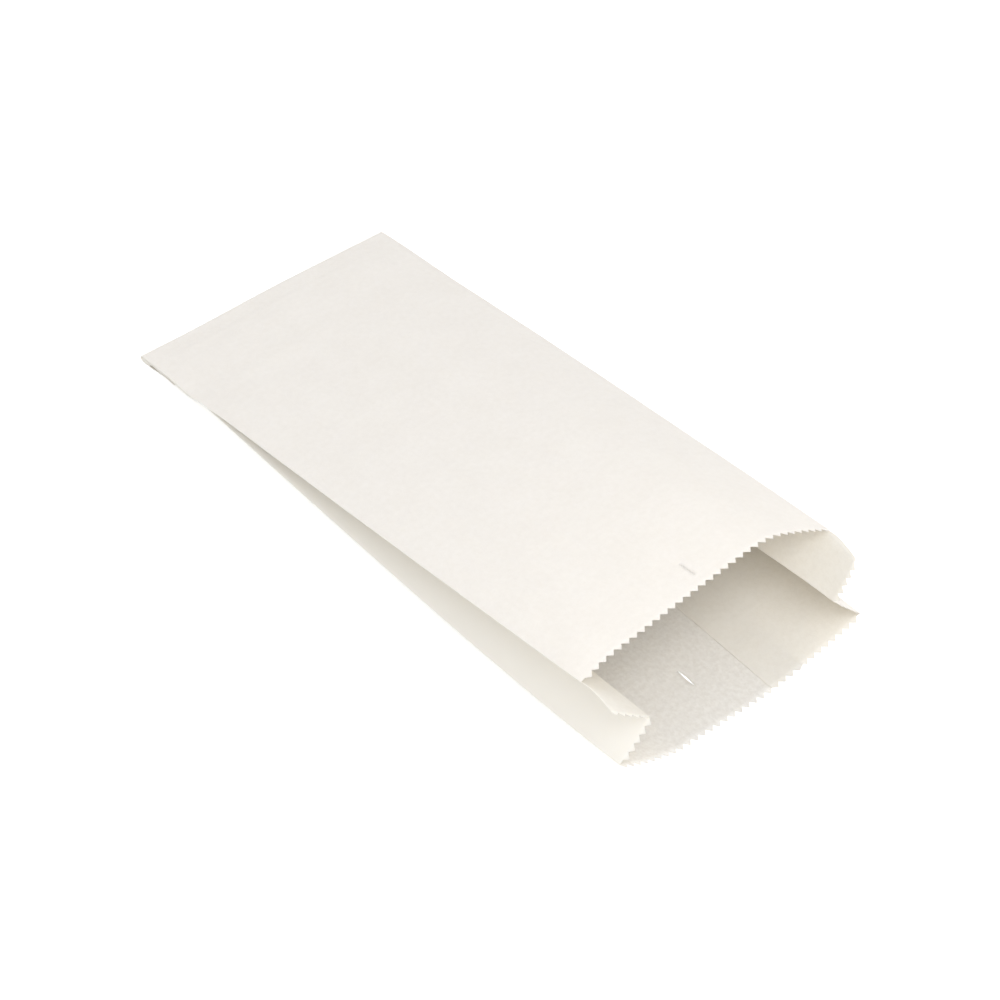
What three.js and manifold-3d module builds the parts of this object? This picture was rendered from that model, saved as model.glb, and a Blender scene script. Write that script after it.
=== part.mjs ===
// A flat gusseted paper bag lying on its back panel with its mouth opened. Millimetres, +Z up.
// It is one sheet: a tube with a glued centre seam and two side gussets, cut with a stepped saw-tooth
// knife and closed by folding its long front lip under and gluing it. The mouth points along -Y.
import * as THREE from "three";
import { mergeVertices } from "three/addons/utils/BufferGeometryUtils.js";
import Module from "manifold-3d";

// The sheet and its cuts
const sheetThickness = 0.12;
const panelWidth = 115;
const gussetHalf = 18.9; // crease to middle fold, twice on each side
const frontLength = 259.5; // bottom fold to the front panel's cut
const lipLength = 17.5; // what the back panel and the gussets have beyond the front panel
const toothPitch = 3.43;
const toothDepth = 2;
const slitLength = 9.4;
const slitWidth = 0.8;
const slitFromLeftFront = 56.3; // left crease to the slit of each panel
const slitFromLeftBack = 52;
const slitInsetFront = 5.9; // end of each slit to the line of the front panel's cut
const slitInsetBack = 1.5;
const seamFromLeft = 71.5; // left crease of the back panel to the free edge inside
const seamOverlap = 15;
const seamRelief = 6; // width over which the upper ply comes down again beside the seam

// The folded and glued end
const flapLength = 24.5; // bottom fold to the tip of the glued lip
const plyGap = 0.18; // air between two plies that lie on each other
const springBack = 0.4; // how far the folded end stands off by its own spring
const glueBite = 0.02; // how far glued faces run into each other
const stepRun = 7; // length over which the back panel comes down from the turned-under plies

// The opened mouth, as heights above the table
const creaseHeightLeft = 35.5; // front creases at the front panel's cut
const creaseHeightRight = 36.6;
const creaseGrowthLeft = 1.03; // power by which each crease climbs from the bottom fold
const creaseGrowthRight = 0.92;
const creaseDent = 1.8; // dip of the left crease just past the flap
const dentDistance = 10.5; // flap tip to the middle of the dip
const dentReach = 12;
const archHeight = 13; // front panel over the line between its creases, at the cut
const backLift = 5.5; // back creases over the table along the bag
const backLiftRun = 16; // length over which they rise from the flap
const mouthLift = 4.6; // what is added at the mouth
const mouthLiftGrowth = 5;
const flatStart = 0.25; // part of the back panel's width that lies on the table
const flatEnd = 0.57;
const liftCurveLeft = 1.5; // power by which the panel curls up from there to each crease
const liftCurveRight = 1.25;
const backPinch = 3; // width that the back panel's small waves take at the mouth
const mouthDrift = 3; // sideways shift of the mouth against the bottom fold
const lipRiseLeft = 4.2; // the gussets' free edges past the front panel's cut
const lipRiseRight = 1.3;
const lipTurnLeft = 0.4; // how far those edges turn towards the middle of the mouth
const lipTurnRight = 4.8;
const lipTurnGrowth = 1.3;

const paper = new THREE.MeshStandardMaterial({ color: 0xf4efe7, roughness: 0.72, metalness: 0 });

const half = sheetThickness / 2;
const backLength = frontLength + lipLength;
const plyPitch = sheetThickness + plyGap; // middle of one ply to the middle of the next
const stackHeight = 3 * plyPitch; // front ply over back ply where the bag is flat
const plyEnd = flapLength - lipLength; // where the back and the gussets end inside the fold
const foldedHeight = 4 * sheetThickness + springBack; // the turned-under plies
const foldHeight = foldedHeight + stackHeight + sheetThickness;
const stepDown = plyEnd + plyPitch; // where the back panel comes down from the turned-under plies
const glueEnd = flapLength + toothDepth / 2; // where it leaves the glued lip
const { lerp, clamp, smoothstep } = THREE.MathUtils;

// The front panel's bow at its cut: share of the width, share of the arch's height
const archCurve = new THREE.SplineCurve([
  new THREE.Vector2(0, 0),
  new THREE.Vector2(0.09, 0.34),
  new THREE.Vector2(0.25, 0.55),
  new THREE.Vector2(0.5, 0.83),
  new THREE.Vector2(0.73, 1),
  new THREE.Vector2(0.87, 0.6),
  new THREE.Vector2(1, 0),
]);

// A strip of paper of fixed width that bows: its chord shortens until the curve keeps the width.
const bowSteps = 44;
function bowedStrip(width, shape) {
  const length = (chord) => {
    let sum = 0;
    for (let i = 1; i <= bowSteps; i++) {
      const [a, b] = [shape((i - 1) / bowSteps), shape(i / bowSteps)];
      sum += Math.hypot(chord * (b.x - a.x), b.z - a.z);
    }
    return sum;
  };
  let [low, high] = [0.5 * width, width];
  for (let i = 0; i < 24; i++) {
    const middle = (low + high) / 2;
    if (length(middle) < width) low = middle;
    else high = middle;
  }
  const chord = high;
  const points = [];
  const along = [0];
  for (let i = 0; i <= bowSteps; i++) {
    const p = shape(i / bowSteps);
    points.push({ x: chord * p.x, z: p.z });
    if (!i) continue;
    const step = Math.hypot(points[i].x - points[i - 1].x, points[i].z - points[i - 1].z);
    along.push(along[i - 1] + step);
  }
  const at = (u) => {
    const target = clamp(u / width, 0, 1) * along[bowSteps];
    let i = 1;
    while (i < bowSteps && along[i] < target) i++;
    const t = (target - along[i - 1]) / (along[i] - along[i - 1]);
    return { x: lerp(points[i - 1].x, points[i].x, t), z: lerp(points[i - 1].z, points[i].z, t) };
  };
  return { chord, at };
}

// Height of the back panel's middle line over the table: over the folded end, on the flap, on the table
function backLevel(q) {
  const onFold = foldedHeight + half - glueBite;
  const onFlap = sheetThickness + half - glueBite;
  const down = smoothstep(q, stepDown, stepDown + stepRun);
  const out = smoothstep(q, glueEnd, flapLength + dentDistance);
  return lerp(lerp(onFold, onFlap, down), half, out);
}

function backCrease(q) {
  const lift = backLift * smoothstep(q, glueEnd, glueEnd + backLiftRun);
  return backLevel(q) + lift + mouthLift * (q / backLength) ** mouthLiftGrowth;
}

function frontCrease(q, side) {
  const left = side < 0;
  const mouthHeight = left ? creaseHeightLeft : creaseHeightRight;
  const closed = backLevel(0) + stackHeight;
  const share = clamp(q / frontLength, 0, 1);
  let z = closed + (mouthHeight - closed) * share ** (left ? creaseGrowthLeft : creaseGrowthRight);
  if (left) z -= creaseDent * Math.exp(-(((q - flapLength - dentDistance) / dentReach) ** 2));
  const past = clamp((q - frontLength) / lipLength, 0, 1);
  z += past * (left ? lipRiseLeft : lipRiseRight);
  return Math.max(z, backCrease(q) + stackHeight);
}

// The strips of one section, in order round the bag and seen from the mouth, each with its width.
const strips = [
  { name: "back", width: panelWidth },
  { name: "backFoldRight", width: plyPitch },
  { name: "lowerRight", width: gussetHalf },
  { name: "middleFoldRight", width: plyPitch },
  { name: "upperRight", width: gussetHalf },
  { name: "frontFoldRight", width: plyPitch },
  { name: "front", width: panelWidth },
  { name: "frontFoldLeft", width: plyPitch },
  { name: "upperLeft", width: gussetHalf },
  { name: "middleFoldLeft", width: plyPitch },
  { name: "lowerLeft", width: gussetHalf },
  { name: "backFoldLeft", width: plyPitch },
];
const starts = {};
let perimeter = 0;
for (const strip of strips) {
  starts[strip.name] = perimeter;
  perimeter += strip.width;
}

// The middle fold of a gusset, a half gusset away from both creases and inside the bag. While the gusset
// is nearly shut its creases may stand a little out of line, and the fold then still points straight in.
function middleFold(front, back, side) {
  const [dx, dz] = [back.x - front.x, back.z - front.z];
  const gap = Math.max(Math.hypot(dx, dz), 1e-6);
  const depth = Math.sqrt(Math.max(gussetHalf ** 2 - (gap / 2) ** 2, 0));
  const tilt = (-dx / gap) * smoothstep(gap, 0, gussetHalf);
  return {
    x: (front.x + back.x) / 2 - side * depth * Math.sqrt(1 - tilt ** 2),
    z: (front.z + back.z) / 2 + side * depth * tilt,
  };
}

// The middle line of the paper in the plane y = -q
const sections = new Map();
function sectionAt(q) {
  const key = q.toFixed(4);
  if (sections.has(key)) return sections.get(key);
  const drift = mouthDrift * (q / backLength);
  const level = backLevel(q);
  const backLiftAt = backCrease(q) - level;
  const rising = (u) => {
    if (u < flatStart) return (1 - u / flatStart) ** liftCurveLeft;
    return u > flatEnd ? ((u - flatEnd) / (1 - flatEnd)) ** liftCurveRight : 0;
  };
  const back = bowedStrip(panelWidth, (u) => ({ x: u, z: level + backLiftAt * rising(u) }));
  const narrowed = back.chord - backPinch * (q / backLength) ** 2;

  const cut = Math.min(q, frontLength);
  const [left, right] = [frontCrease(cut, -1), frontCrease(cut, 1)];
  const bow = archHeight * (cut / frontLength);
  const front = bowedStrip(panelWidth, (u) => {
    const p = archCurve.getPoint(u);
    return { x: p.x, z: lerp(left, right, p.x) + bow * p.y };
  });

  const past = clamp((q - frontLength) / lipLength, 0, 1);
  const sides = [-1, 1].map((side) => {
    const turn = (side < 0 ? -lipTurnLeft : lipTurnRight) * past ** lipTurnGrowth;
    const A = { x: drift + side * (front.chord / 2 - turn), z: frontCrease(q, side) };
    const B = { x: drift + (side * narrowed) / 2, z: backCrease(q) };
    const M = middleFold(
      { x: A.x + side * turn, z: A.z - 1.5 * plyPitch },
      { x: B.x, z: B.z + 1.5 * plyPitch },
      side,
    );
    return { A, B, M };
  });
  const line = (a, b, width) => (u) => ({ x: lerp(a.x, b.x, u / width), z: lerp(a.z, b.z, u / width) });
  const shifted = (p, dz) => ({ x: p.x, z: p.z + dz });
  const paths = { back: (u) => placed(back.at(u), drift - narrowed / 2, narrowed / back.chord) };
  paths.front = (u) => placed(front.at(panelWidth - u), drift - front.chord / 2, 1);
  for (const [i, hand] of ["Left", "Right"].entries()) {
    const { A, B, M } = sides[i];
    const [upA, downA] = [A, shifted(A, -plyPitch)];
    const [upM, downM] = [shifted(M, plyPitch / 2), shifted(M, -plyPitch / 2)];
    const [upB, downB] = [shifted(B, plyPitch), B];
    const turned = (a, b, width) => (i ? line(a, b, width) : line(b, a, width));
    paths["backFold" + hand] = turned(downB, upB, plyPitch);
    paths["lower" + hand] = turned(upB, downM, gussetHalf);
    paths["middleFold" + hand] = turned(downM, upM, plyPitch);
    paths["upper" + hand] = turned(upM, downA, gussetHalf);
    paths["frontFold" + hand] = turned(downA, upA, plyPitch);
  }
  const at = (w) => {
    const around = ((w % perimeter) + perimeter) % perimeter;
    const strip = strips.findLast((s) => starts[s.name] <= around);
    return paths[strip.name](around - starts[strip.name]);
  };
  sections.set(key, at);
  return at;
}

function placed(p, from, share) {
  return { x: from + share * p.x, z: p.z };
}

// How far the paper reaches outwards and inwards from the middle line; the seam is two plies thick.
const edgeRun = sheetThickness / 3;
function plies(w) {
  const u = w - seamFromLeft;
  if (w >= panelWidth || u < 0) return [half, half];
  if (u <= seamOverlap) return [half, half + sheetThickness];
  const down = clamp((u - seamOverlap - edgeRun) / seamRelief, 0, 1) * sheetThickness;
  return [down - half, half + sheetThickness - down];
}

// Length along the bag of a point that lies s along the paper: the steeper its line climbs, the shorter
const slopes = new Map();
function reach(w, s) {
  const key = w.toFixed(4);
  if (!slopes.has(key)) {
    const rise = sectionAt(frontLength)(w).z - sectionAt(0)(w).z;
    slopes.set(key, Math.sqrt(1 - (rise / frontLength) ** 2));
  }
  return s * slopes.get(key);
}

// The sheet as a triangulated surface whose corners each have a point outside and a point inside
const outside = [];
const inside = [];
const faces = [];
const cornerIndex = new Map();
function corner(w, s) {
  const key = w.toFixed(4) + " " + s.toFixed(4);
  if (cornerIndex.has(key)) return cornerIndex.get(key);
  const q = reach(w, s);
  const at = sectionAt(q);
  const probe = sheetThickness / 4;
  const [p, before, after] = [at(w), at(w - probe), at(w + probe)];
  const unit = (a, b) => {
    const d = Math.hypot(b.x - a.x, b.z - a.z);
    return { x: (b.z - a.z) / d, z: -(b.x - a.x) / d };
  };
  const [n1, n2] = [unit(before, p), unit(p, after)];
  const sum = Math.hypot(n1.x + n2.x, n1.z + n2.z);
  const mitre = 2 / sum ** 2;
  const [nx, nz] = [(n1.x + n2.x) * mitre, (n1.z + n2.z) * mitre];
  const [out, into] = plies(w);
  outside.push([p.x + nx * out, -q, p.z + nz * out]);
  inside.push([p.x - nx * into, -q, p.z - nz * into]);
  cornerIndex.set(key, outside.length - 1);
  return outside.length - 1;
}

// Fills the band between two rows of corners that both run round the bag in the same direction.
function band(near, far) {
  let [i, j] = [0, 0];
  while (i < near.length - 1 || j < far.length - 1) {
    const takeNear = j === far.length - 1 || (i < near.length - 1 && near[i + 1].w <= far[j + 1].w);
    if (takeNear) faces.push([near[i].id, near[i + 1].id, far[j].id]);
    else faces.push([near[i].id, far[j + 1].id, far[j].id]);
    if (takeNear) i++;
    else j++;
  }
}
const rowOf = (columns, s) => columns.map((w) => ({ w, id: corner(w, s) }));

// Columns round the bag, with one more on each side of every step of the seam
const panelColumns = 17;
const columnGap = 0.1 * seamOverlap;
function columnsOf(name, count) {
  const width = strips.find((s) => s.name === name).width;
  return Array.from({ length: count }, (_, i) => starts[name] + (width * i) / count);
}
const seamEnd = seamFromLeft + seamOverlap;
const seamColumns = [
  seamFromLeft - edgeRun,
  seamFromLeft,
  seamEnd,
  seamEnd + edgeRun,
  seamEnd + edgeRun + seamRelief,
];
const backColumns = [
  ...columnsOf("back", panelColumns).filter((w) => seamColumns.every((c) => Math.abs(w - c) > columnGap)),
  ...seamColumns,
].sort((a, b) => a - b);
const frontColumns = columnsOf("front", panelColumns);
const gussetColumns = (hand) =>
  strips
    .filter((strip) => strip.name.endsWith(hand))
    .flatMap((strip) => columnsOf(strip.name, strip.width === gussetHalf ? 3 : 1));
const upperEdgeRight = starts.frontFoldRight;
const upperEdgeLeft = starts.upperLeft;
const frontPart = [upperEdgeRight, ...frontColumns, starts.frontFoldLeft, upperEdgeLeft];
const ring = [...backColumns, ...gussetColumns("Right"), ...frontColumns, ...gussetColumns("Left")];
const behindFront = [
  ...ring.filter((w) => w >= upperEdgeLeft),
  ...ring.filter((w) => w <= upperEdgeRight).map((w) => w + perimeter),
];

// A straight cut with saw teeth between two places round the bag
function toothedEdge(from, to, length) {
  const count = Math.max(2, Math.round((2 * (to - from)) / toothPitch));
  return Array.from({ length: count + 1 }, (_, i) => {
    const w = lerp(from, to, i / count);
    return { w, s: length - (i % 2 ? 0 : toothDepth) };
  });
}
function toothedRow(parts, length) {
  const row = [];
  for (const [from, to] of parts)
    for (const { w, s } of toothedEdge(from, to, length))
      if (!row.length || w > row.at(-1).w + 1e-6) row.push({ w, id: corner(wrap(w), s) });
  return row;
}
function wrap(w) {
  return w >= perimeter - 1e-6 ? w - perimeter : w;
}

// Rows along the bag, closer together where the folded end shapes the paper
function spaced(from, to, count, power = 1) {
  return Array.from({ length: count }, (_, i) => from + (to - from) * ((i + 1) / count) ** power);
}
const tubeStart = (foldHeight + sheetThickness) / 2;
const toothRow = 1.4 * toothDepth;
const liftEnd = glueEnd + backLiftRun;
const rows = [
  tubeStart,
  ...spaced(tubeStart, stepDown, 2),
  ...spaced(stepDown, glueEnd, 5, 1.3),
  ...spaced(glueEnd, liftEnd, 6),
  ...spaced(liftEnd, frontLength - toothRow, 11),
];

const closedRow = (s) => [...rowOf(ring, s), { w: perimeter, id: corner(0, s) }];
for (let i = 1; i < rows.length; i++) band(closedRow(rows[i - 1]), closedRow(rows[i]));

const lastRow = rows.at(-1);
const frontTeeth = toothedRow([[starts.front, starts.frontFoldLeft]], frontLength);
band(rowOf(frontPart, lastRow), [
  { w: upperEdgeRight, id: corner(upperEdgeRight, frontLength) },
  ...frontTeeth,
  { w: upperEdgeLeft, id: corner(upperEdgeLeft, frontLength) },
]);

const lipRow = (s) => behindFront.map((w) => ({ w, id: corner(wrap(w), s) }));
const lipRows = [lastRow, frontLength, ...spaced(frontLength, backLength - toothRow, 3)];
for (let i = 1; i < lipRows.length; i++) band(lipRow(lipRows[i - 1]), lipRow(lipRows[i]));
const lipTeeth = toothedRow(
  [
    [upperEdgeLeft, starts.middleFoldLeft],
    [starts.lowerLeft, starts.backFoldLeft],
    [perimeter, perimeter + panelWidth],
    [perimeter + starts.lowerRight, perimeter + starts.middleFoldRight],
    [perimeter + starts.upperRight, perimeter + upperEdgeRight],
  ],
  backLength,
);
band(lipRow(lipRows.at(-1)), lipTeeth);

// Gives the surface its thickness: the outer face, the inner face, and a wall along every free edge
function thickened() {
  const edges = new Map();
  for (const f of faces)
    for (let k = 0; k < 3; k++) edges.set(f[k] + " " + f[(k + 1) % 3], [f[k], f[(k + 1) % 3]]);
  const n = outside.length;
  const index = [];
  for (const [a, b, c] of faces) index.push(a, b, c, n + a, n + c, n + b);
  for (const [a, b] of edges.values())
    if (!edges.has(b + " " + a)) index.push(b, a, n + a, b, n + a, n + b);
  const geometry = new THREE.BufferGeometry();
  geometry.setAttribute("position", new THREE.Float32BufferAttribute([...outside, ...inside].flat(), 3));
  geometry.setIndex(index);
  return geometry;
}

const wasm = await Module();
wasm.setup();
function solidOf(geometry) {
  const bare = geometry.clone();
  bare.deleteAttribute("normal");
  bare.deleteAttribute("uv");
  const merged = mergeVertices(bare, 1e-4);
  return new wasm.Manifold(
    new wasm.Mesh({
      numProp: 3,
      vertProperties: new Float32Array(merged.attributes.position.array),
      triVerts: new Uint32Array(merged.index.array),
    }),
  );
}
function geometryOf(solid) {
  const mesh = solid.getMesh();
  const geometry = new THREE.BufferGeometry();
  geometry.setAttribute("position", new THREE.BufferAttribute(mesh.vertProperties, 3));
  geometry.setIndex(new THREE.BufferAttribute(mesh.triVerts, 1));
  return geometry;
}

// The fold at the closed end with the turned-under plies, as a profile drawn along the bag
function foldedEnd() {
  const radius = foldHeight / 2;
  const width = panelWidth + sheetThickness + 2 * glueBite;
  const top = foldedHeight;
  const profile = new THREE.Shape();
  profile.moveTo(-plyEnd, 0);
  profile.lineTo(-radius, 0);
  profile.absarc(-radius, radius, radius, -Math.PI / 2, Math.PI / 2, false);
  profile.lineTo(-radius - 2 * sheetThickness, foldHeight);
  profile.lineTo(-radius - 2 * sheetThickness, top);
  profile.lineTo(-plyEnd, top);
  const geometry = new THREE.ExtrudeGeometry(profile, {
    depth: width,
    bevelEnabled: false,
    curveSegments: 5,
  });
  geometry.applyMatrix4(
    new THREE.Matrix4().makeBasis(
      new THREE.Vector3(0, 1, 0),
      new THREE.Vector3(0, 0, 1),
      new THREE.Vector3(1, 0, 0),
    ),
  );
  return geometry.translate(-width / 2, 0, 0);
}

// The long lip of the front panel, folded under and glued, with the same saw-tooth cut at its end
function gluedFlap() {
  const outline = new THREE.Shape();
  outline.moveTo(-panelWidth / 2, -foldHeight / 2);
  for (const { w, s } of toothedEdge(0, panelWidth, flapLength)) outline.lineTo(w - panelWidth / 2, -s);
  outline.lineTo(panelWidth / 2, -foldHeight / 2);
  return new THREE.ExtrudeGeometry(outline, { depth: sheetThickness, bevelEnabled: false });
}

// A thumb slit that gapes a little, cut through the ply at the given place round the bag
const cutterHeight = 2 * toothPitch;
function slit(w, inset) {
  const to = reach(w, frontLength - inset);
  const from = reach(w, frontLength - inset - slitLength);
  const middle = (from + to) / 2;
  const outline = new THREE.Shape();
  outline.moveTo(0, -from);
  outline.quadraticCurveTo(slitWidth, -middle, 0, -to);
  outline.quadraticCurveTo(-slitWidth, -middle, 0, -from);
  const { x, z } = sectionAt(middle)(w);
  const settings = { depth: cutterHeight, bevelEnabled: false, curveSegments: 5 };
  return new THREE.ExtrudeGeometry(outline, settings).translate(x, 0, z - cutterHeight / 2);
}

const bag = solidOf(thickened())
  .add(solidOf(foldedEnd()))
  .add(solidOf(gluedFlap()))
  .subtract(solidOf(slit(starts.front + panelWidth - slitFromLeftFront, slitInsetFront)))
  .subtract(solidOf(slit(starts.back + slitFromLeftBack, slitInsetBack)));

const geometry = geometryOf(bag);
geometry.computeBoundingBox();
const { min, max } = geometry.boundingBox;
geometry.translate(-(min.x + max.x) / 2, -(min.y + max.y) / 2, -min.z);
geometry.computeVertexNormals();

const mesh = new THREE.Mesh(geometry, paper);
mesh.name = "paper_bag";
const group = new THREE.Group();
group.add(mesh);
export default group;
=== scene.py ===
import math

import bpy
import numpy as np
from mathutils import Matrix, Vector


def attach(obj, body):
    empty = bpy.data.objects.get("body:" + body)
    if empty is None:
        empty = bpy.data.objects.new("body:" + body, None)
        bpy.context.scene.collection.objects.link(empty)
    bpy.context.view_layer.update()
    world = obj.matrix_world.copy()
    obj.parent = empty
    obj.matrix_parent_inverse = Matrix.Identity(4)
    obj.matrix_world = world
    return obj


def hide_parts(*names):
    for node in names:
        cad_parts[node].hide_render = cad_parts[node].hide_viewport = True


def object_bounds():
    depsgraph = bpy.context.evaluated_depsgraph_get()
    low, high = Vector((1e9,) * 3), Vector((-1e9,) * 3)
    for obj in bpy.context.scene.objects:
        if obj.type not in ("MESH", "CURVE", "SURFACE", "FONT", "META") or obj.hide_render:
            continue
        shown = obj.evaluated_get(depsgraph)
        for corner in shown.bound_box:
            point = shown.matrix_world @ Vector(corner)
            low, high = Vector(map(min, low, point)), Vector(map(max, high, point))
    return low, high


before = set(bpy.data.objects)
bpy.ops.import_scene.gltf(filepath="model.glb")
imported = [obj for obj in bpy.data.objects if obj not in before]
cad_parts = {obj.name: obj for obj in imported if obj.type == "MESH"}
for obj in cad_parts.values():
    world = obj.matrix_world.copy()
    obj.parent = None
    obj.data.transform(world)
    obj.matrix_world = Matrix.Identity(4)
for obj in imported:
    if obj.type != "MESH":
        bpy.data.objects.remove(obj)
cadBox = [list(c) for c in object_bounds()]
print("frame loaded")

mm = 0.001
tiny = 1e-6          # places that lie closer than this are one place
roundOff = 1e-9
probe = 1.0          # length of paper over which its direction is taken

# the sheet as it is cut and glued, in millimetres
# q runs from the closed fold at 0 to the back's cut, w runs round the bag and s along the paper
sheet = {
    "thickness": 0.12,
    "panelWidth": 115.0,
    "gussetHalf": 18.9,                         # crease to middle fold, twice on each side
    "frontLength": 259.5,                       # closed fold to the front panel's cut
    "lipLength": 17.5,                          # what the back and the gussets have beyond it
    "toothPitch": 3.43,
    "toothDepth": 2.0,
    "slitLength": 9.4,
    "slitGape": {"front": 0.06, "back": 0.42},  # half the opening in the middle of each slit
    "slitFromLeft": {"front": 56.3, "back": 52.0},
    "slitInset": {"front": 5.9, "back": 1.5},   # end of each slit to the line of the front's cut
    "slitDrawFull": 0.5,                        # past its ends, where a column still lies on the slit
    "slitDrawEnd": 3.0,                         # and where it is back at its own place
    "seamFromLeft": 71.5,                       # left crease of the back to the free edge inside
    "seamOverlap": 15.0,
    "seamRelief": 6.0,                          # width over which the inner ply comes down again
    "seamAir": 0.03,                            # air between the glued plies
    "seamLift": 0.05,                           # and what is added under the inner ply's free edge
    "seamLiftWidth": 4.0,
    "seamEdgeStrip": 0.5,                       # narrow strip of faces along the free edge
    "seamEdgeClear": 0.8,                       # no other column lies nearer to a free edge
    "flapLength": 24.5,                         # closed fold to the tip of the glued lip
    "plyGap": 0.18,                             # air between two plies that lie on each other
    "turnedClear": 0.8,                         # the turned-under plies end this far before their line
    "glueBite": 0.02,                           # how far the solid's glued faces run into each other
    "stepRun": 7.0,                             # length over which the back comes down from those plies
}
thickness = sheet["thickness"]
panelWidth = sheet["panelWidth"]
gussetHalf = sheet["gussetHalf"]
frontLength = sheet["frontLength"]
lipLength = sheet["lipLength"]
backLength = frontLength + lipLength
flapLength = sheet["flapLength"]
toothDepth = sheet["toothDepth"]
plyPitch = thickness + sheet["plyGap"]
stackHeight = 3 * plyPitch                      # of the four plies that lie on each other
gussetInset = 1.5 * plyPitch                    # a crease to the middle of those four plies
plyEnd = flapLength - lipLength                 # the line at which the turned-under plies end
noseRadius = 3.5 * plyPitch                     # of the outermost ply where the closed end turns under
noseHeight = thickness / 2 + noseRadius         # of the line that it turns about

# how the bag lies open, its lengths in millimetres
opening = {
    "creaseHeight": {"Left": 35.5, "Right": 36.6},   # front creases at the front panel's cut
    "creaseGrowth": {"Left": 1.03, "Right": 0.92},   # power by which each climbs from the closed fold
    "creaseBlend": 0.8,                              # height over which it leaves the closed stack
    "creaseDent": 1.8,                               # dip of the left crease just past the flap
    "dentDistance": 10.5,                            # flap tip to the middle of the dip
    "dentReach": 12.0,
    "dentWidth": 0.3,                                # share of the front's width that dips with it
    "archHeight": 13.0,                              # front over the line between its creases, at the cut
    "backLift": 5.5,                                 # back creases over the table along the bag
    "backLiftRun": 16.0,
    "mouthLift": 4.6,                                # what is added at the mouth
    "mouthLiftGrowth": 5.0,
    "flatStart": 0.25,                               # from here to flatEnd, as shares of its width, the
    "flatEnd": 0.57,                                 # back lies on the table
    "liftCurveLeft": 1.5,                            # power by which it curls up from there to a crease
    "liftCurveRight": 1.25,
    "backPinch": 3.0,                                # width that the back's small waves take at the mouth
    "drift": 3.0,                                    # sideways shift of the mouth
    "lipRise": {"Left": 2.7, "Right": 1.3},          # the gussets' free edges past the front's cut
    "lipTurn": {"Left": -3.5, "Right": 4.8},         # how far they turn towards the middle
    "lipTurnGrowth": 1.3,
}
archPoints = [(0, 0), (0.09, 0.34), (0.25, 0.55), (0.5, 0.83), (0.73, 1), (0.87, 0.6), (1, 0)]
bowSteps = 140               # steps of a bowed strip's curve, and halvings to find its chord
bowHalvings = 26
sides = {"Left": -1, "Right": 1}


def smoothstep(x, low, high):
    t = np.clip((x - low) / (high - low), 0, 1)
    return t * t * (3 - 2 * t)


def lerp(a, b, t):
    return a + (b - a) * t


def softMax(a, b, blend):
    share = np.clip(0.5 + 0.5 * (a - b) / blend, 0, 1)
    return lerp(b, a, share) + blend * share * (1 - share)


def splinePoints(points, shares):
    pts = np.array(points, float)
    last = len(pts) - 1
    out = []
    for t in shares:
        p = last * t
        i = min(int(p), last - 1)
        f = p - i
        p0, p1, p2, p3 = pts[max(i - 1, 0)], pts[i], pts[i + 1], pts[min(i + 2, last)]
        v0, v1 = (p2 - p0) / 2, (p3 - p1) / 2
        cubic = 2 * p1 - 2 * p2 + v0 + v1
        square = -3 * p1 + 3 * p2 - 2 * v0 - v1
        out.append(cubic * f**3 + square * f**2 + v0 * f + p1)
    return np.array(out).T


bowShares = np.linspace(0, 1, bowSteps + 1)
archX, archZ = splinePoints(archPoints, bowShares)


def bowedStrip(width, xs, zs):
    # a strip of paper of fixed width that bows: its chord shortens until the curve keeps the width
    low, high = width / 2, width
    dx, dz = np.diff(xs), np.diff(zs)
    for _ in range(bowHalvings):
        chord = (low + high) / 2
        if np.hypot(chord * dx, dz).sum() < width:
            low = chord
        else:
            high = chord
    along = np.concatenate([[0], np.cumsum(np.hypot(high * dx, dz))])
    along *= width / along[-1]
    return high, lambda u: (np.interp(u, along, high * xs), np.interp(u, along, zs))


def backLevel(q):
    # the back panel lies on the turned-under plies, then on the flap, then on the table
    onFold = noseHeight + plyPitch / 2
    onFlap = thickness + plyPitch / 2
    stepDown = plyEnd + plyPitch
    down = smoothstep(q, stepDown, stepDown + sheet["stepRun"])
    out = smoothstep(q, flapLength + toothDepth / 2, flapLength + opening["dentDistance"])
    return lerp(lerp(onFold, onFlap, down), thickness / 2, out)


# the closed end's spring off the table and the step of its plies, in millimetres
closedEnd = {
    "farLift": 1.5,                  # the fold's right part off the table
    "farLiftReach": 50.0,
    "farLiftFrom": -45.0,            # from the bag's middle line, where it starts and is full
    "farLiftFull": 15.0,
    "cornerLift": 2.9,               # the left edge behind the fold's corner
    "cornerLiftFrom": 1.0,
    "cornerLiftFull": 20.0,
    "cornerLiftFade": 14.0,          # past the flap's tip
    "emboss": 0.3,                   # step of the plies below that shows in the front panel
    "embossLine": {"Left": 8.7, "Right": 10.3},      # closed fold to that step
    "embossHalfRun": 1.0,
    "embossFadeFrom": 1.5,           # both as multiples of the line's distance
    "embossFadeTo": 9.0,
    "embossSides": 0.12,             # share of the width over which it starts at each crease
}


def cornerLift(q):
    gone = smoothstep(q, flapLength, flapLength + closedEnd["cornerLiftFade"])
    shown = smoothstep(q, closedEnd["cornerLiftFrom"], closedEnd["cornerLiftFull"])
    return closedEnd["cornerLift"] * shown * (1 - gone)


def leftShare(u):
    return np.clip(1 - u / opening["flatStart"], 0, 1) ** opening["liftCurveLeft"]


def rightShare(u):
    return np.clip((u - opening["flatEnd"]) / (1 - opening["flatEnd"]), 0, 1) ** opening["liftCurveRight"]


def pastCut(q):
    return np.clip((q - frontLength) / lipLength, 0, 1)


def creaseDent(q):
    away = (q - flapLength - opening["dentDistance"]) / opening["dentReach"]
    return opening["creaseDent"] * math.exp(-(away**2))


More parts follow.
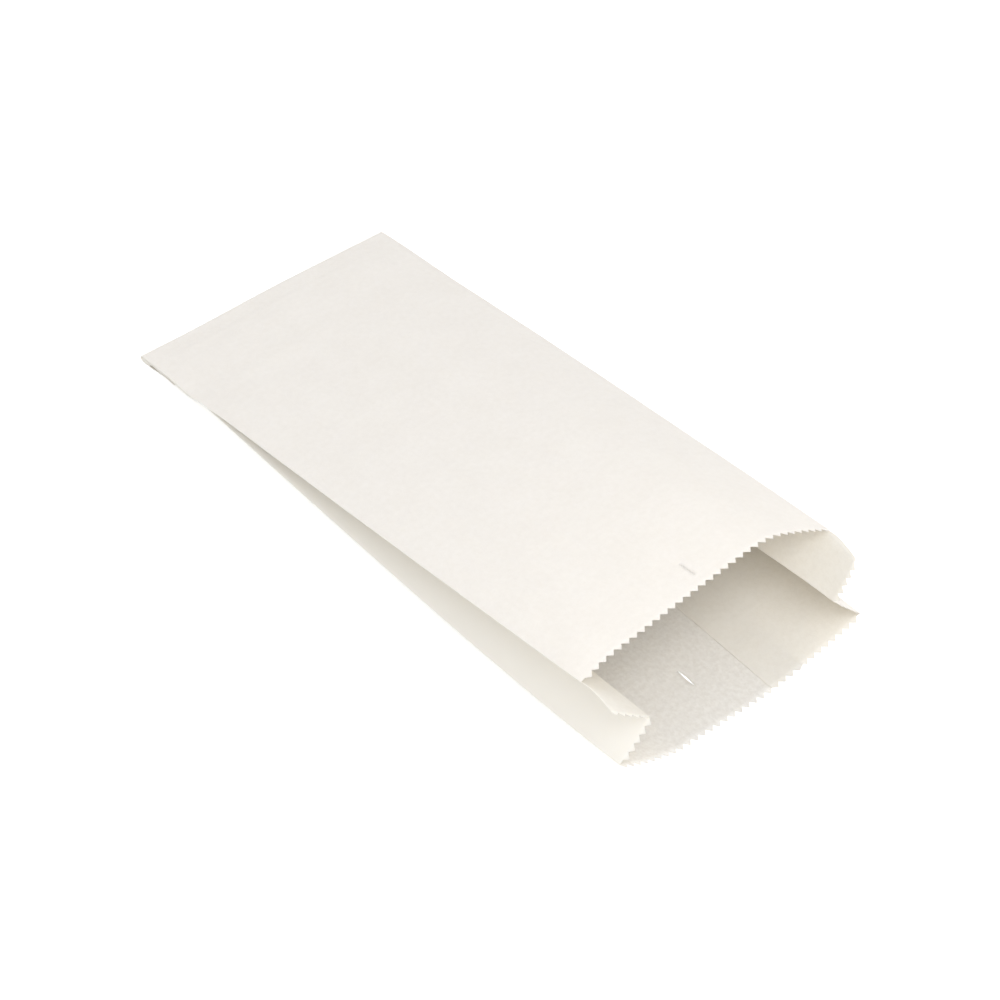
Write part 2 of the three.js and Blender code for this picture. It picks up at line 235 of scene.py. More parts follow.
def backCrease(q, hand):
    start = flapLength + toothDepth / 2
    lift = opening["backLift"] * smoothstep(q, start, start + opening["backLiftRun"])
    lift += opening["mouthLift"] * (q / backLength) ** opening["mouthLiftGrowth"]
    return backLevel(q) + lift + (cornerLift(q) if hand == "Left" else 0)


def frontCrease(q, hand):
    closed = backLevel(0) + stackHeight
    growth = np.clip(q / frontLength, 0, 1) ** opening["creaseGrowth"][hand]
    z = closed + (opening["creaseHeight"][hand] - closed) * growth
    if hand == "Left":
        z -= creaseDent(q)
    z += pastCut(q) * opening["lipRise"][hand]
    return softMax(z, backCrease(q, hand) + stackHeight, opening["creaseBlend"])


def middleFold(front, back, side):
    # half a gusset away from both creases and inside the bag
    dx, dz = back[0] - front[0], back[1] - front[1]
    gap = max(math.hypot(dx, dz), tiny)
    depth = math.sqrt(max(gussetHalf**2 - (gap / 2) ** 2, 0))
    tilt = (-dx / gap) * smoothstep(gap, 0, gussetHalf)
    return ((front[0] + back[0]) / 2 - side * depth * math.sqrt(1 - tilt**2),
            (front[1] + back[1]) / 2 + side * depth * tilt)


# the strips of the sheet in their order round the bag, with where each starts
stripWidths = [("back", panelWidth),
               ("backFoldRight", plyPitch), ("lowerRight", gussetHalf), ("middleFoldRight", plyPitch),
               ("upperRight", gussetHalf), ("frontFoldRight", plyPitch),
               ("front", panelWidth),
               ("frontFoldLeft", plyPitch), ("upperLeft", gussetHalf), ("middleFoldLeft", plyPitch),
               ("lowerLeft", gussetHalf), ("backFoldLeft", plyPitch)]
starts, perimeter = {}, 0.0
for stripName, stripWidth in stripWidths:
    starts[stripName] = perimeter
    perimeter += stripWidth


def over(point, height):
    return point[0], point[1] + height


def sectionAt(q, ws):
    # the paper's middle line in the plane y = -q, at the places ws round the bag
    share = q / backLength
    drift = opening["drift"] * share
    level = backLevel(q)
    backZ = level + (backCrease(q, "Left") - level) * leftShare(bowShares)
    backZ = backZ + (backCrease(q, "Right") - level) * rightShare(bowShares)
    backChord, backAt = bowedStrip(panelWidth, bowShares, backZ)
    narrowed = backChord - opening["backPinch"] * share**2
    cut = min(q, frontLength)
    bow = opening["archHeight"] * cut / frontLength
    frontZ = lerp(frontCrease(cut, "Left"), frontCrease(cut, "Right"), archX) + bow * archZ
    frontChord, frontAt = bowedStrip(panelWidth, archX, frontZ)
    paths = {}
    for hand, side in sides.items():
        turn = opening["lipTurn"][hand] * pastCut(q) ** opening["lipTurnGrowth"]
        front = (drift + side * (frontChord / 2 - turn), frontCrease(q, hand))
        back = (drift + side * narrowed / 2, backCrease(q, hand))
        unturned = (front[0] + side * turn, front[1])
        middle = middleFold(over(unturned, -gussetInset), over(back, gussetInset), side)
        ends = {
            "backFold": (back, over(back, plyPitch), side),
            "lower": (over(back, plyPitch), over(middle, -plyPitch / 2), 0),
            "middleFold": (over(middle, -plyPitch / 2), over(middle, plyPitch / 2), -side),
            "upper": (over(middle, plyPitch / 2), over(front, -plyPitch), 0),
            "frontFold": (over(front, -plyPitch), front, side),
        }
        for name, (a, b, bulge) in ends.items():
            paths[name + hand] = (a, b, bulge) if side > 0 else (b, a, bulge)
    x, z = np.zeros(len(ws)), np.zeros(len(ws))
    for name, width in stripWidths:
        inStrip = (ws >= starts[name] - roundOff) & (ws < starts[name] + width - roundOff)
        v = ws[inStrip] - starts[name]
        if name == "back":
            px, pz = backAt(v)
            x[inStrip], z[inStrip] = drift - narrowed / 2 + px * narrowed / backChord, pz
        elif name == "front":
            px, pz = frontAt(panelWidth - v)
            x[inStrip], z[inStrip] = drift - frontChord / 2 + px, pz
        else:
            a, b, bulge = paths[name]
            t = v / width
            x[inStrip] = lerp(a[0], b[0], t) + bulge * 0.5 * plyPitch * np.sin(np.pi * t)
            z[inStrip] = lerp(a[1], b[1], t)
    return x, z


# columns of the folded sheet: two for each tooth on the panels and gussets, three steps in each fold
def columnsOf(name, width):
    steps = 3 if "Fold" in name else max(2, round(2 * width / sheet["toothPitch"]))
    return starts[name] + width * np.arange(steps) / steps


def phasesOf(name, width):
    return np.arange(len(columnsOf(name, width))) * (0 if "Fold" in name else 1)


seamStart = sheet["seamFromLeft"]
seamEnd = seamStart + sheet["seamOverlap"]
halfTooth = panelWidth / round(2 * panelWidth / sheet["toothPitch"])
ringColumns = np.concatenate([columnsOf(*strip) for strip in stripWidths])
ringPhases = np.concatenate([phasesOf(*strip) for strip in stripWidths])
onTop = ringColumns > seamStart + sheet["seamEdgeClear"]     # the ply inside, from its free edge to the right
below = ringColumns < seamEnd - sheet["seamEdgeClear"]       # the ply under it, up to its own free edge
columns = np.concatenate([[seamStart, seamStart + sheet["seamEdgeStrip"]], ringColumns[onTop],
                          ringColumns[below] + perimeter, [seamEnd + perimeter]])
phases = np.concatenate([[seamStart / halfTooth, seamStart / halfTooth], ringPhases[onTop],
                         ringPhases[below], [seamEnd / halfTooth]])
columnCount = len(columns)
slitW = {
    "front": starts["front"] + panelWidth - sheet["slitFromLeft"]["front"],
    "back": perimeter + sheet["slitFromLeft"]["back"],
}
slitColumn = {name: int(np.argmin(abs(columns - w))) for name, w in slitW.items()}
slitEnd = {name: frontLength - inset for name, inset in sheet["slitInset"].items()}

# rows along the bag, closer together where the paper bends or is cut
rowSpacing = {
    "closed": 0.6,           # beside the closed fold
    "closedRun": 12.0,
    "dent": 1.1,             # over the flap and past it
    "dentRun": 14.0,
    "plain": 1.9,
    "slit": 1.1,
    "turnedUnder": 1.4,
    "flap": 1.6,
    "beforeTeeth": 1.0,      # last row before the back's row of teeth
    "noseSteps": 8,          # round the closed fold
    "noseShare": 0.9,        # how far those steps reach on the paper's map, as a share of noseRadius
}
cutRow = frontLength - toothDepth
lipRow = backLength - toothDepth
turnedEnd = plyEnd - sheet["turnedClear"]
dentEnd = flapLength + rowSpacing["dentRun"]


def spaced(low, high, spacing):
    count = max(1, round((high - low) / spacing))
    return list(low + (high - low) * np.arange(1, count + 1) / count)


tubeRows = [noseRadius] + spaced(noseRadius, rowSpacing["closedRun"], rowSpacing["closed"])
tubeRows += spaced(rowSpacing["closedRun"], dentEnd, rowSpacing["dent"])
slitMarks = sorted([slitEnd[name] - sheet["slitLength"] for name in slitEnd] + [slitEnd["front"]])
for low, high in zip([dentEnd] + slitMarks, slitMarks + [cutRow]):
    tubeRows += spaced(low, high, rowSpacing["plain" if low < slitMarks[0] else "slit"])
lastPlain = lipRow - rowSpacing["beforeTeeth"]
lipRows = [slitEnd["back"]] + spaced(slitEnd["back"], lastPlain, rowSpacing["plain"]) + [lipRow]
noseAngles = [math.radians(a) for a in np.linspace(-90, 90, rowSpacing["noseSteps"] + 1)[1:-1]]
turnedRows = [noseRadius] + spaced(noseRadius, turnedEnd, rowSpacing["turnedUnder"])
flapRows = spaced(turnedEnd, flapLength - toothDepth, rowSpacing["flap"])

# sections on a fine set of planes, from which each point of the paper is read
sampling = {"fineEnd": 60, "fineSteps": 120, "coarseCount": 260, "across": 0.5}
finePlanes = np.linspace(0, sampling["fineEnd"], sampling["fineSteps"] + 1)
coarsePlanes = np.linspace(sampling["fineEnd"], backLength, sampling["coarseCount"])
planes = np.unique(np.concatenate([finePlanes, coarsePlanes]))
backW = np.arange(0, panelWidth, sampling["across"])
frontW = starts["front"] + np.arange(sampling["across"] / 2, panelWidth, sampling["across"])
allW = np.sort(np.concatenate([ringColumns, backW, frontW]))
allW = allW[np.insert(np.diff(allW) > tiny, 0, True)]
sections = np.array([sectionAt(q, allW) for q in planes])        # plane, x or z, place

# the paper climbs towards the mouth, so a length of it covers a little less of the table
heightAtCut = np.array([np.interp(frontLength, planes, sections[:, 1, i]) for i in range(len(allW))])
climb = heightAtCut - sections[0, 1]
steepness = np.sqrt(1 - (climb / frontLength) ** 2)


def seamHeight(w, s):
    # how far the seam's inner ply stands over the one under it
    if w > seamEnd + sheet["seamRelief"]:
        return 0.0
    edge = 1 - smoothstep(w, seamStart, seamStart + sheet["seamLiftWidth"])
    free = sheet["seamLift"] * smoothstep(s, flapLength, 2 * flapLength) * edge
    relief = 1 - smoothstep(w, seamEnd, seamEnd + sheet["seamRelief"])
    return (thickness + sheet["seamAir"] + free) * relief


def emboss(w, s):
    # the front steps up where the plies folded under end, and its left crease's dent dies out quickly
    fromRight = (w - starts["front"]) / panelWidth
    if not 0 < fromRight < 1:
        return 0.0
    fromLeft = 1 - fromRight
    line = lerp(closedEnd["embossLine"]["Right"], closedEnd["embossLine"]["Left"], fromRight)
    step = smoothstep(s, line - closedEnd["embossHalfRun"], line + closedEnd["embossHalfRun"])
    step *= 1 - smoothstep(s, closedEnd["embossFadeFrom"] * line, closedEnd["embossFadeTo"] * line)
    dent = creaseDent(s) * (smoothstep(fromLeft, 0, opening["dentWidth"]) - fromLeft)
    besideCreases = smoothstep(min(fromRight, fromLeft), 0, closedEnd["embossSides"])
    return dent + closedEnd["emboss"] * step * besideCreases


def paperPoint(w, s):
    # the place in space of the point that lies w round the bag and s along it
    lifted = seamHeight(w, s)
    w = w % perimeter
    q = s * np.interp(w, allW, steepness)
    j = int(np.clip(np.searchsorted(planes, q) - 1, 0, len(planes) - 2))
    t = (q - planes[j]) / (planes[j + 1] - planes[j])
    near, far = sections[j], sections[j + 1]
    x, z = (lerp(np.interp(w, allW, near[k]), np.interp(w, allW, far[k]), t) for k in (0, 1))
    return np.array([x, -q, z + lifted + emboss(w, s)])


def farSpring(p):
    reach = 1 - smoothstep(-p[1], 0, closedEnd["farLiftReach"])
    sideways = smoothstep(p[0], closedEnd["farLiftFrom"], closedEnd["farLiftFull"])
    return p[2] + closedEnd["farLift"] * sideways * reach


verts, faces, faceUvs, toothPhases, cutShares, directions = [], [], [], [], [], []


def addPoint(p, column=0, onCut=False, step=(0, -1, 0)):
    # step is the paper's direction towards the mouth, along which a point on a cut becomes a tooth
    verts.append((p[0], p[1], farSpring(p)))
    toothPhases.append(phases[column] if onCut else 0)
    cutShares.append(1 if onCut else 0)
    directions.append(np.array(step) / np.linalg.norm(step))
    return len(verts) - 1


def addQuad(ids, uvs):
    faces.append(ids)
    faceUvs.append(uvs)


inFrontPart = (columns >= starts["frontFoldRight"] - roundOff) & (columns <= starts["upperLeft"] + roundOff)
frontFirst, frontLast = (int(np.flatnonzero(inFrontPart)[i]) for i in (0, -1))


def placeOf(c, s):
    # a column by a slit is drawn onto it
    for name, k in slitColumn.items():
        if c == k:
            reach = sheet["slitLength"] / 2
            away = abs(s - slitEnd[name] + reach)
            near = 1 - smoothstep(away, reach + sheet["slitDrawFull"], reach + sheet["slitDrawEnd"])
            toothRow = cutRow if name == "front" else lipRow
            return lerp(columns[c], slitW[name], near if s < toothRow - tiny else 0)
    return columns[c]


base = [paperPoint(w, 0) for w in columns]
rowList = []                     # for each row, its points by column and its place s on the paper's map


def liftedCorner(p):
    return p[0], p[1], p[2] + cornerLift(-p[1]) * leftShare(p[0] / panelWidth + 0.5)


def turnedRow(angle, under=None):
    # all plies turned about the closed fold, and under the bag once they are right round
    ids = []
    for p in base:
        radius = p[2] - noseHeight
        y = -noseRadius + radius * math.cos(angle) if under is None else under
        ids.append(addPoint(liftedCorner((p[0], y, noseHeight + radius * math.sin(angle)))))
    return ids


for y in reversed(turnedRows):
    rowList.append((turnedRow(-math.pi / 2, -y), -y))
for angle in noseAngles:
    rowList.append((turnedRow(angle), noseRadius * math.sin(angle) * rowSpacing["noseShare"]))
firstTube = len(rowList)
for s in tubeRows:
    ids = []
    for c in range(columnCount):
        p = paperPoint(placeOf(c, s), s)
        step = paperPoint(placeOf(c, s), s + probe) - p
        onCut = abs(s - cutRow) < tiny and frontFirst < c < frontLast
        ids.append(addPoint(p, c, onCut, step))
    rowList.append((ids, s))
cutIndex = len(rowList) - 1

behind = list(range(frontFirst + 1)) + list(range(frontLast, columnCount))
for s in lipRows:
    ids = {}
    for c in behind:
        p = paperPoint(placeOf(c, s), s)
        step = p - paperPoint(placeOf(c, s), s - probe)
        ids[c] = addPoint(p, c, abs(s - lipRow) < tiny, step)
    rowList.append((ids, s))

# the slits: a second point for the far side of the cut, and both sides drawn apart
twins = {}
for name, k in slitColumn.items():
    for r in range(firstTube, len(rowList)):
        ids, s = rowList[r]
        t = (s - slitEnd[name]) / sheet["slitLength"] + 1
        if tiny < t < 1 - tiny:
            apart = sheet["slitGape"][name] * math.sin(math.pi * t)
            before, after = paperPoint(slitW[name] - apart, s), paperPoint(slitW[name] + apart, s)
            verts[ids[k]] = (before[0], before[1], farSpring(before))
            twins[(r, k)] = addPoint(after)


def quadRow(r, firstColumns):
    (near, sNear), (far, sFar) = rowList[r], rowList[r + 1]
    for c in firstColumns:
        d = c + 1
        n0, f0 = twins.get((r, c), near[c]), twins.get((r + 1, c), far[c])
        wc, wd = columns[c], columns[d]
        addQuad((n0, near[d], far[d], f0), ((wc, sNear), (wd, sNear), (wd, sFar), (wc, sFar)))


for r in range(cutIndex):
    quadRow(r, range(columnCount - 1))
for r in range(cutIndex, len(rowList) - 1):
    quadRow(r, [c for c in behind[:-1] if c != frontFirst])

# the front panel's lip goes on under the bag as the glued flap
previous, sPrevious = rowList[0]
for s in flapRows:
    ids = {}
    for c in range(frontFirst, frontLast + 1):
        p = liftedCorner((base[c][0], -s, noseHeight * 2 - base[c][2]))
        ids[c] = addPoint(p, c, abs(s - flapRows[-1]) < tiny)
    for c in range(frontFirst, frontLast):
        wc, wd = columns[c], columns[c + 1]
        corners = ((wc, -s), (wd, -s), (wd, sPrevious), (wc, sPrevious))
        addQuad((ids[c], ids[c + 1], previous[c + 1], previous[c]), corners)
    previous, sPrevious = ids, -s

print("sheet laid out:", len(verts), "points")

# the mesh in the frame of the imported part: the closed fold's left end is a corner of the part's box
foldHalfWidth = (panelWidth + thickness + 2 * sheet["glueBite"]) / 2
shiftX = -foldHalfWidth - cadBox[0][0] / mm
shiftY = cadBox[1][1] / mm


def toFrame(p):
    return ((p[0] - shiftX) * mm, (p[1] + shiftY) * mm, p[2] * mm)


bagMesh = bpy.data.meshes.new("paperBag")
bagMesh.from_pydata([toFrame(p) for p in verts], [], faces)
paperMap = bagMesh.uv_layers.new(name="paperMap")
flatUvs = [(u * mm, v * mm) for corners in faceUvs for u, v in corners]
paperMap.data.foreach_set("uv", np.array(flatUvs, np.float32).ravel())
for name, kind, field, values in (("toothPhase", "FLOAT", "value", toothPhases),
                                  ("cutShare", "FLOAT", "value", cutShares),
                                  ("alongBag", "FLOAT_VECTOR", "vector", directions)):
    attribute = bagMesh.attributes.new(name, kind, "POINT")
    attribute.data.foreach_set(field, np.array(values, np.float32).ravel())
bagMesh.polygons.foreach_set("use_smooth", [True] * len(bagMesh.polygons))
bagMesh.update()
bag = bpy.data.objects.new("paperBag", bagMesh)
bpy.context.scene.collection.objects.link(bag)

# paper, glazed outside and rough inside
paperFinish = {
    "glazed": {
        "colour": (0.957, 0.907, 0.842),
        "shade": (0.90, 0.847, 0.778),
        "formationRange": (0.395, 0.67875),      # of the noise, from shade to colour
        "roughness": 0.5,
        "relief": 0.00003,
        # painted shade for the left gusset's groove
        "gussetPaintedShade": (0.902, 0.866, 0.792),
    },
    "rough": {
        "colour": (0.92, 0.875, 0.79),
        "shade": (0.84, 0.79, 0.70),
        "formationRange": (0.275, 0.56875),
        "roughness": 0.85,
        "relief": 0.00005,
        # painted shade for the back's left ply inside, under the front panel
        "paintedShadeColour": (0.945, 0.91, 0.85),
        "paintedShadeDark": (0.845, 0.805, 0.74),
        "paintedShadeRange": (0.38, 0.62),
    },
}
paperBody = {
    "specular": 0.25,
    "glowThrough": 0.3,                          # light that passes into the sheet
    "glowRadius": (1.0, 0.92, 0.8),
    "glowDepth": 0.0006,
    "bump": 0.6,
    "tintEdge": 0.5 * mm,                        # half the width over which one tint meets the next
}
paperGrain = {
    "clouds": {"scale": 520, "detail": 4, "stretch": (1, 0.8, 1), "roughness": 0.6},       # of 2 to 4 mm
    "fibres": {"scale": 2600, "detail": 3, "stretch": (1, 0.45, 1), "roughness": 0.7},     # along the web
    "patches": {"scale": 60, "detail": 2, "stretch": (1, 1, 1), "roughness": 0.55},
    "paintedShadeGrain": {"scale": 640, "detail": 3, "stretch": (1, 0.8, 1), "roughness": 0.65},
    "fibreShare": 0.45,
    "patchShare": 0.25,
    "paintedShadeFibreShare": 0.25,
    "reliefFibreShare": 0.6,
}


def paperMaterial(name, look):
    material = bpy.data.materials.new(name)
    material.use_nodes = True
    nodes, links = material.node_tree.nodes, material.node_tree.links
    shader = nodes["Principled BSDF"]
    shader.inputs["Roughness"].default_value = look["roughness"]
    shader.inputs["Specular IOR Level"].default_value = paperBody["specular"]
    shader.inputs["Subsurface Weight"].default_value = paperBody["glowThrough"]
    shader.inputs["Subsurface Radius"].default_value = paperBody["glowRadius"]
    shader.inputs["Subsurface Scale"].default_value = paperBody["glowDepth"]
    uv = nodes.new("ShaderNodeUVMap")
    uv.uv_map = "paperMap"
    across = nodes.new("ShaderNodeSeparateXYZ")
    links.new(uv.outputs["UV"], across.inputs["Vector"])

    def noise(grainName):
        grain = paperGrain[grainName]
        mapping = nodes.new("ShaderNodeMapping")
        mapping.inputs["Scale"].default_value = grain["stretch"]
        links.new(uv.outputs["UV"], mapping.inputs["Vector"])
        node = nodes.new("ShaderNodeTexNoise")
        node.inputs["Scale"].default_value = grain["scale"]
        node.inputs["Detail"].default_value = grain["detail"]
        node.inputs["Roughness"].default_value = grain["roughness"]
        links.new(mapping.outputs["Vector"], node.inputs["Vector"])
        return node.outputs["Fac"]

    def mixed(a, b, share):
        node = nodes.new("ShaderNodeMix")
        node.data_type = "FLOAT"
        node.inputs["Factor"].default_value = share
        links.new(a, node.inputs["A"])
        links.new(b, node.inputs["B"])
        return node.outputs["Result"]

    def ramped(value, low, high):
        node = nodes.new("ShaderNodeMapRange")
        node.inputs["From Min"].default_value = low
        node.inputs["From Max"].default_value = high
        links.new(value, node.inputs["Value"])
        return node.outputs["Result"]

    def tinted(factor, a, b):
        node = nodes.new("ShaderNodeMix")
        node.data_type = "RGBA"
        links.new(factor, node.inputs["Factor"])
        for socket, value in (("A", a), ("B", b)):
            if isinstance(value, tuple):
                node.inputs[socket].default_value = (*value, 1)
            else:
                links.new(value, node.inputs[socket])
        return node.outputs["Result"]

    def pastColumn(w):
        # 0 before that place round the bag and 1 after it
        return ramped(across.outputs["X"], w * mm - paperBody["tintEdge"], w * mm + paperBody["tintEdge"])

    clouds, fibres = noise("clouds"), noise("fibres")
    formation = mixed(clouds, fibres, paperGrain["fibreShare"])
    formation = mixed(formation, noise("patches"), paperGrain["patchShare"])
    colour = tinted(ramped(formation, *look["formationRange"]), look["shade"], look["colour"])
    if "gussetPaintedShade" in look:
        # painted shade: from the left front crease on round the sheet the outside is darker and a little
        # greener than the front, for the shade that lies in the left gusset's groove
        colour = tinted(pastColumn(starts["frontFoldLeft"]), colour, look["gussetPaintedShade"])
    if "paintedShadeColour" in look:
        # painted shade: inside, the ply that ends outside the seam is made greyer and darker for the shade
        # under the front panel, with a coarser grain
        grain = mixed(noise("paintedShadeGrain"), fibres, paperGrain["paintedShadeFibreShare"])
        paintedShade = tinted(ramped(grain, *look["paintedShadeRange"]), look["paintedShadeDark"], look["paintedShadeColour"])
        colour = tinted(pastColumn(perimeter), colour, paintedShade)
    links.new(colour, shader.inputs["Base Color"])
    bump = nodes.new("ShaderNodeBump")
    bump.inputs["Distance"].default_value = look["relief"]
    bump.inputs["Strength"].default_value = paperBody["bump"]
    links.new(mixed(clouds, fibres, paperGrain["reliefFibreShare"]), bump.inputs["Height"])
    links.new(bump.outputs["Normal"], shader.inputs["Normal"])
    return material


glazedPaper = paperMaterial("whiteKraftGlazed", paperFinish["glazed"])
roughPaper = paperMaterial("whiteKraftRough", paperFinish["rough"])
print("paper made")

# saw teeth and cockle, by geometry nodes, in metres
toothing = {
    "Tooth Depth": toothDepth * mm,
    "Cockle Height": 0.00022,
    "Cockle Size": 0.035,
    "Cockle Onset": 250.0,       # share of it for each metre over the table, so all of it from 4 mm up
    "Seed": 7.0,
}


def sheetTree():
    tree = bpy.data.node_groups.new("cutAndCockle", "GeometryNodeTree")
    tree.interface.new_socket("Geometry", in_out="INPUT", socket_type="NodeSocketGeometry")
    for name in toothing:
        tree.interface.new_socket(name, in_out="INPUT", socket_type="NodeSocketFloat")
    tree.interface.new_socket("Paper", in_out="INPUT", socket_type="NodeSocketMaterial")
    tree.interface.new_socket("Geometry", in_out="OUTPUT", socket_type="NodeSocketGeometry")
    nodes, links = tree.nodes, tree.links
    given, result = nodes.new("NodeGroupInput"), nodes.new("NodeGroupOutput")

    def attribute(name, kind):
        node = nodes.new("GeometryNodeInputNamedAttribute")
        node.data_type = kind
        node.inputs["Name"].default_value = name
        return node.outputs["Attribute"]

    def maths(operation, a, b):
        node = nodes.new("ShaderNodeMath")
        node.operation = operation
        for socket, value in zip(node.inputs, (a, b)):
            if isinstance(value, (int, float)):
                socket.default_value = value
            else:
                links.new(value, socket)
        return node.outputs[0]

    def scaled(vector, factor):
        node = nodes.new("ShaderNodeVectorMath")
        node.operation = "SCALE"
        links.new(vector, node.inputs[0])
        links.new(factor, node.inputs["Scale"])
        return node.outputs["Vector"]

    def moved(geometry, offset):
        node = nodes.new("GeometryNodeSetPosition")
        links.new(geometry, node.inputs["Geometry"])
        links.new(offset, node.inputs["Offset"])
        return node.outputs["Geometry"]

    # a tooth's height over the root line rises and falls once every two half pitches
    height = maths("PINGPONG", attribute("toothPhase", "FLOAT"), 1.0)
    height = maths("MULTIPLY", height, attribute("cutShare", "FLOAT"))
    height = maths("MULTIPLY", height, given.outputs["Tooth Depth"])
    shaped = moved(given.outputs["Geometry"], scaled(attribute("alongBag", "FLOAT_VECTOR"), height))

    # the slight cockle that paper has after it is wound, glued and opened
    noise = nodes.new("ShaderNodeTexNoise")
    noise.noise_dimensions = "4D"
    noise.inputs["Detail"].default_value = 1.0
    place = nodes.new("GeometryNodeInputPosition")
    links.new(place.outputs["Position"], noise.inputs["Vector"])
    links.new(maths("DIVIDE", 1.0, given.outputs["Cockle Size"]), noise.inputs["Scale"])
    links.new(given.outputs["Seed"], noise.inputs["W"])
    wave = maths("MULTIPLY", maths("SUBTRACT", noise.outputs["Fac"], 0.5), given.outputs["Cockle Height"])
    wave = maths("MULTIPLY", wave, 2.0)
    split = nodes.new("ShaderNodeSeparateXYZ")
    links.new(place.outputs["Position"], split.inputs["Vector"])
    onset = maths("MULTIPLY", split.outputs["Z"], given.outputs["Cockle Onset"])
    onset = maths("MINIMUM", maths("MAXIMUM", onset, 0.0), 1.0)
    upwards = nodes.new("ShaderNodeCombineXYZ")
    links.new(maths("MULTIPLY", wave, onset), upwards.inputs["Z"])
    shaped = moved(shaped, upwards.outputs["Vector"])

    realize, painted = nodes.new("GeometryNodeRealizeInstances"), nodes.new("GeometryNodeSetMaterial")
    links.new(shaped, realize.inputs["Geometry"])
    links.new(realize.outputs["Geometry"], painted.inputs["Geometry"])
    links.new(given.outputs["Paper"], painted.inputs["Material"])
    links.new(painted.outputs["Geometry"], result.inputs["Geometry"])
    return tree


# the wall's inner faces take the second material, so both slots are there before it is worked out
bagMesh.materials.append(glazedPaper)
bagMesh.materials.append(roughPaper)
tree = sheetTree()
cutting = bag.modifiers.new("cutAndCockle", "NODES")
cutting.node_group = tree
identifiers = {item.name: item.identifier for item in tree.interface.items_tree if item.in_out == "INPUT"}
for name, value in toothing.items():
    cutting[identifiers[name]] = value
cutting[identifiers["Paper"]] = glazedPaper

wall = bag.modifiers.new("wall", "SOLIDIFY")
wall.thickness = thickness * mm
wall.offset = 0
wall.use_even_offset = True
wall.use_quality_normals = True
wall.material_offset = 1

evaluated = bag.evaluated_get(bpy.context.evaluated_depsgraph_get())
finished = bpy.data.meshes.new_from_object(evaluated)
inner = [p.material_index for p in finished.polygons]
bag.modifiers.clear()
bag.data = finished
finished.materials.clear()
finished.materials.append(glazedPaper)
finished.materials.append(roughPaper)
finished.polygons.foreach_set("material_index", inner)
for name in ("toothPhase", "cutShare", "alongBag"):
    if name in finished.attributes:
        finished.attributes.remove(finished.attributes[name])
print("bag made:", len(finished.polygons), "faces, inside", sum(inner))

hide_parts("paper_bag")
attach(bag, "root")

# table, backdrop, light and camera
stage = {
    "floorSize": 6.0,
    "floorDrop": 0.00002,        # under the bag
    "floorColour": (0.93, 0.93, 0.93),
    "floorRoughness": 0.9,
    "floorSpecular": 0.1,
    "floorGlow": 0.45,
    "worldLight": 0.82,
    "lampShape": 0.7,            # a lamp's height for its width
    "lamps": {
        "softbox": {"place": (-0.12, -0.85, 1.2), "width": 1.4, "power": 8.1},
        "sideFill": {"place": (-1.2, 0.5, 0.35), "width": 0.9, "power": 0.9},
    },
}


def seenAsBackground(nodes, links):
    # 1 where the camera, a reflection or a clear body looks at the surface, and 0 where it only lights
    path = nodes.new("ShaderNodeLightPath")
    seen = path.outputs["Is Camera Ray"]
    for ray in ("Is Glossy Ray", "Is Transmission Ray"):
        either = nodes.new("ShaderNodeMath")
        either.operation = "MAXIMUM"
        links.new(seen, either.inputs[0])
        links.new(path.outputs[ray], either.inputs[1])
        seen = either.outputs[0]
    return seen


bpy.ops.mesh.primitive_plane_add(size=stage["floorSize"], location=(0, 0, -stage["floorDrop"]))
floor = bpy.context.active_object
floor.name = "table"
floorMaterial = bpy.data.materials.new("paleTable")
floorMaterial.use_nodes = True
nodes, links = floorMaterial.node_tree.nodes, floorMaterial.node_tree.links
floorShader = nodes["Principled BSDF"]
floorShader.inputs["Base Color"].default_value = (*stage["floorColour"], 1)
floorShader.inputs["Roughness"].default_value = stage["floorRoughness"]
floorShader.inputs["Specular IOR Level"].default_value = stage["floorSpecular"]
floorShader.inputs["Emission Color"].default_value = (1, 1, 1, 1)
glow = nodes.new("ShaderNodeMath")
glow.operation = "MULTIPLY"
glow.inputs[1].default_value = stage["floorGlow"]
links.new(seenAsBackground(nodes, links), glow.inputs[0])
links.new(glow.outputs[0], floorShader.inputs["Emission Strength"])
floor.data.materials.append(floorMaterial)

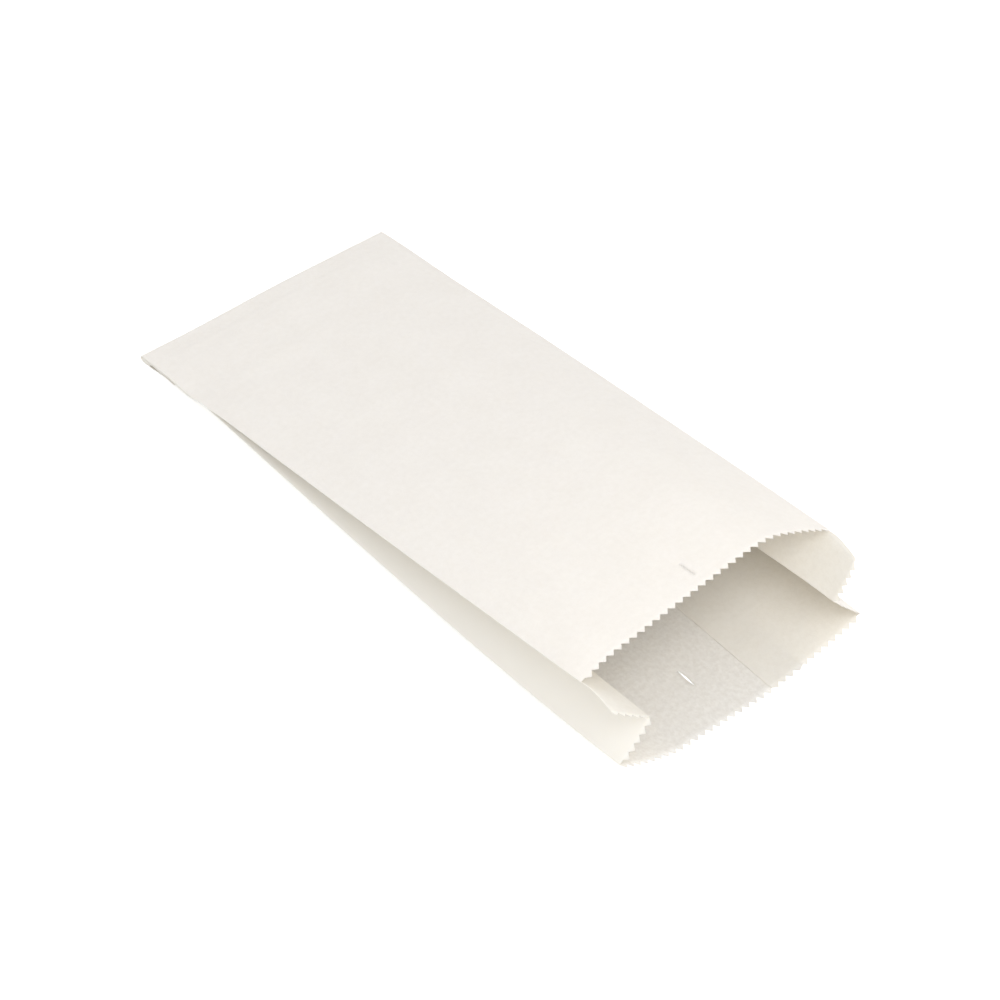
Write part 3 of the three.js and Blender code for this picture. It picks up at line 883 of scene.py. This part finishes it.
world = bpy.data.worlds.new("studio")
bpy.context.scene.world = world
world.use_nodes = True
nodes, links = world.node_tree.nodes, world.node_tree.links
background = nodes["Background"]
background.inputs["Color"].default_value = (1, 1, 1, 1)
strength = nodes.new("ShaderNodeMapRange")
strength.inputs["To Min"].default_value = stage["worldLight"]
strength.inputs["To Max"].default_value = 1.0
links.new(seenAsBackground(nodes, links), strength.inputs["Value"])
links.new(strength.outputs["Result"], background.inputs["Strength"])


def aimed(eye, target):
    back = np.array(eye, float) - np.array(target, float)
    back /= np.linalg.norm(back)
    right = np.cross((0, 0, 1), back)
    right /= np.linalg.norm(right)
    up = np.cross(back, right)
    return Matrix([(*row, place) for row, place in zip(np.array((right, up, back)).T, eye)] + [(0, 0, 0, 1)])


for name, lampLook in stage["lamps"].items():
    lamp = bpy.data.objects.new(name, bpy.data.lights.new(name, "AREA"))
    lamp.data.shape = "RECTANGLE"
    lamp.data.size = lampLook["width"]
    lamp.data.size_y = stage["lampShape"] * lampLook["width"]
    lamp.data.energy = lampLook["power"]
    lamp.matrix_world = aimed(lampLook["place"], (0, 0, 0))
    bpy.context.scene.collection.objects.link(lamp)

# angles in degrees, target and distance in the sheet's millimetres
view = {
    "elevation": 44.854,
    "azimuth": -38.803,
    "target": (1.66, -145.35, 0.0),
    "distance": 1094.0,
    "lens": 108.0,
    "sensor": 36.0,
    "farthest": 20.0,        # metres
}
elevation, azimuth = math.radians(view["elevation"]), math.radians(view["azimuth"])
level = math.cos(elevation)
towards = np.array((math.sin(azimuth) * level, -math.cos(azimuth) * level, math.sin(elevation)))
target = np.array(toFrame(view["target"]))
camera = bpy.data.objects.new("camera", bpy.data.cameras.new("camera"))
camera.data.lens = view["lens"]
camera.data.sensor_width = view["sensor"]
camera.data.clip_end = view["farthest"]
camera.matrix_world = aimed(target + towards * view["distance"] * mm, target)
bpy.context.scene.collection.objects.link(camera)
bpy.context.scene.camera = camera
bpy.context.scene.view_settings.view_transform = "Standard"
print("stage set")
